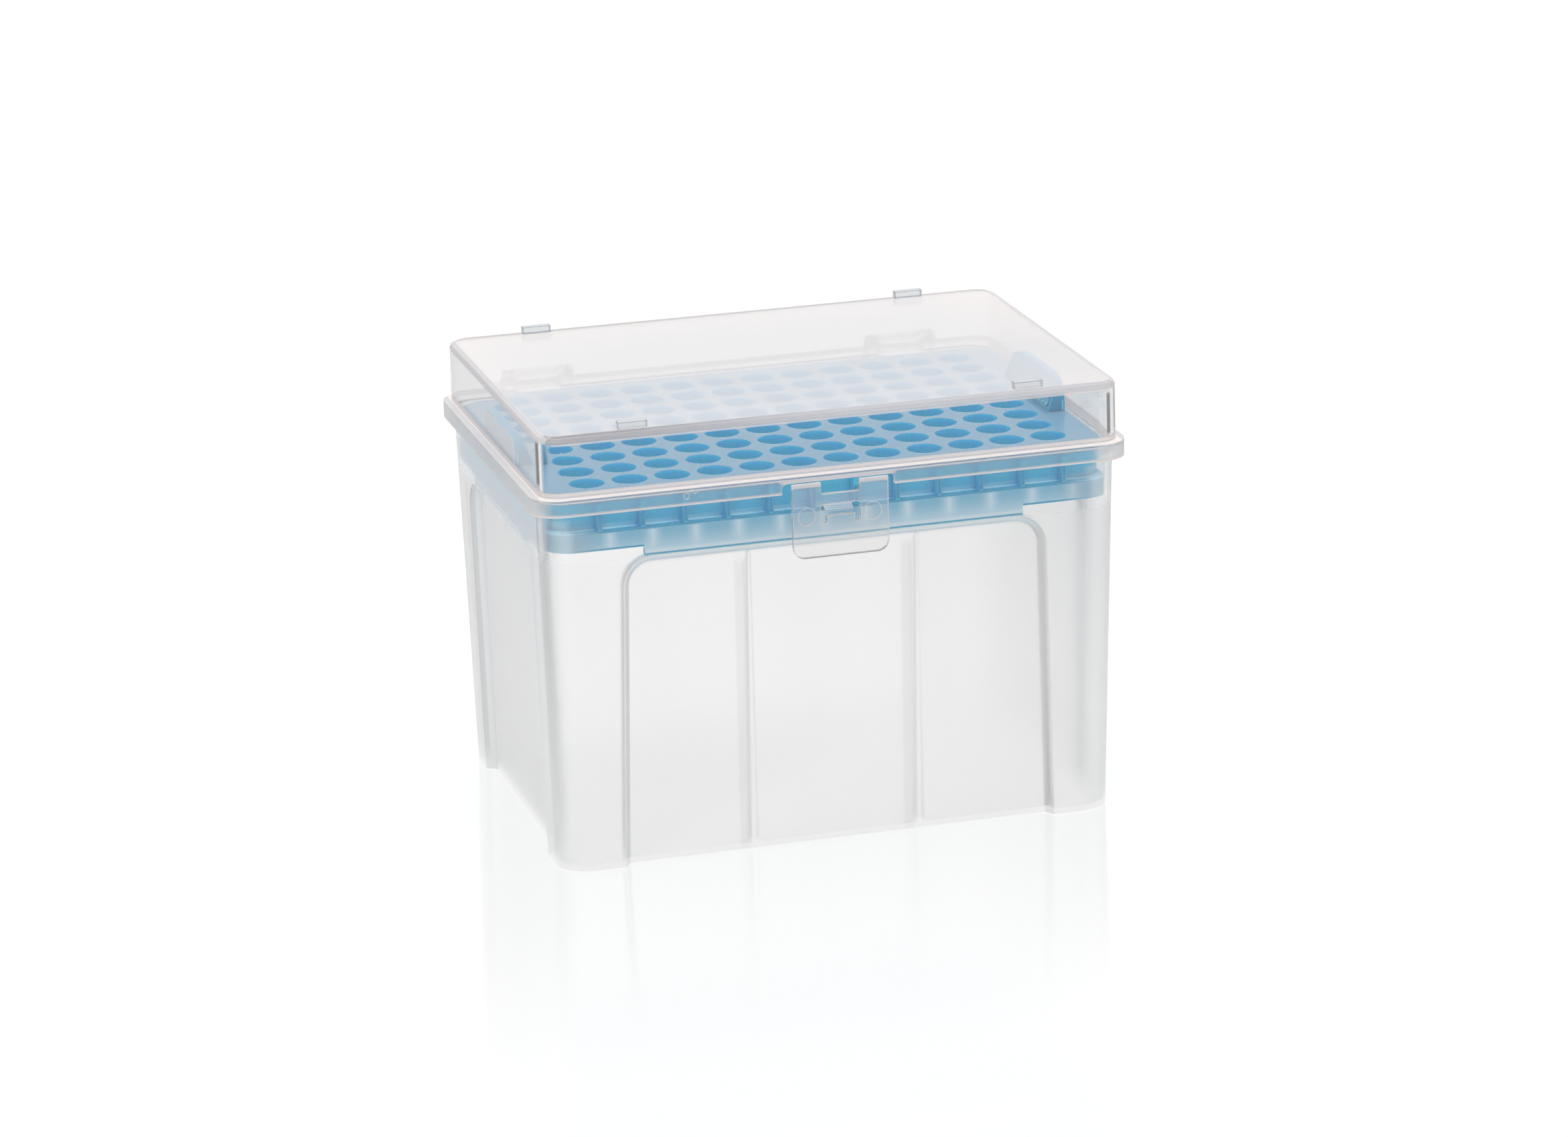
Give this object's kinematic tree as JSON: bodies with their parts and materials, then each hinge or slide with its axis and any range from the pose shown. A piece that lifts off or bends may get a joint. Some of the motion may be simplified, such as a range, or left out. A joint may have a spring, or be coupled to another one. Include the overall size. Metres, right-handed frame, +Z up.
{
  "type": "pipette tip box",
  "caption": "Hinged pipette tip box: frosted polypropylene base, blue tip rack with open wells, clear lid and a front latch flap.",
  "frame": {"origin": "centre of the floor's underside", "axes": "+X along the long side (columns 1 to 12), -Y towards the latch, +Z up"},
  "size_m": [0.1268, 0.0959, 0.0948],
  "materials": {
    "frosted_pp": "natural polypropylene, translucent, finely frosted",
    "blue_pp": "blue polypropylene, glossy",
    "clear_pp": "clear polypropylene, slightly hazy"
  },
  "bodies": {
    "base": {"base_box": "frosted_pp", "tip_rack": "blue_pp"},
    "lid_body": {"lid": "clear_pp"},
    "latch": {"latch_flap": "clear_pp"}
  },
  "joints": [
    {"name": "lid_hinge", "type": "hinge", "parent": "base", "child": "lid_body", "pos_m": [0, 0.0469, 0.0769], "axis": [-1, 0, 0], "range_deg": [0, 110]},
    {"name": "latch_hinge", "type": "hinge", "parent": "lid_body", "child": "latch", "pos_m": [0, -0.04585, 0.0788], "axis": [-1, 0, 0], "range_deg": [0, 100]}
  ]
}
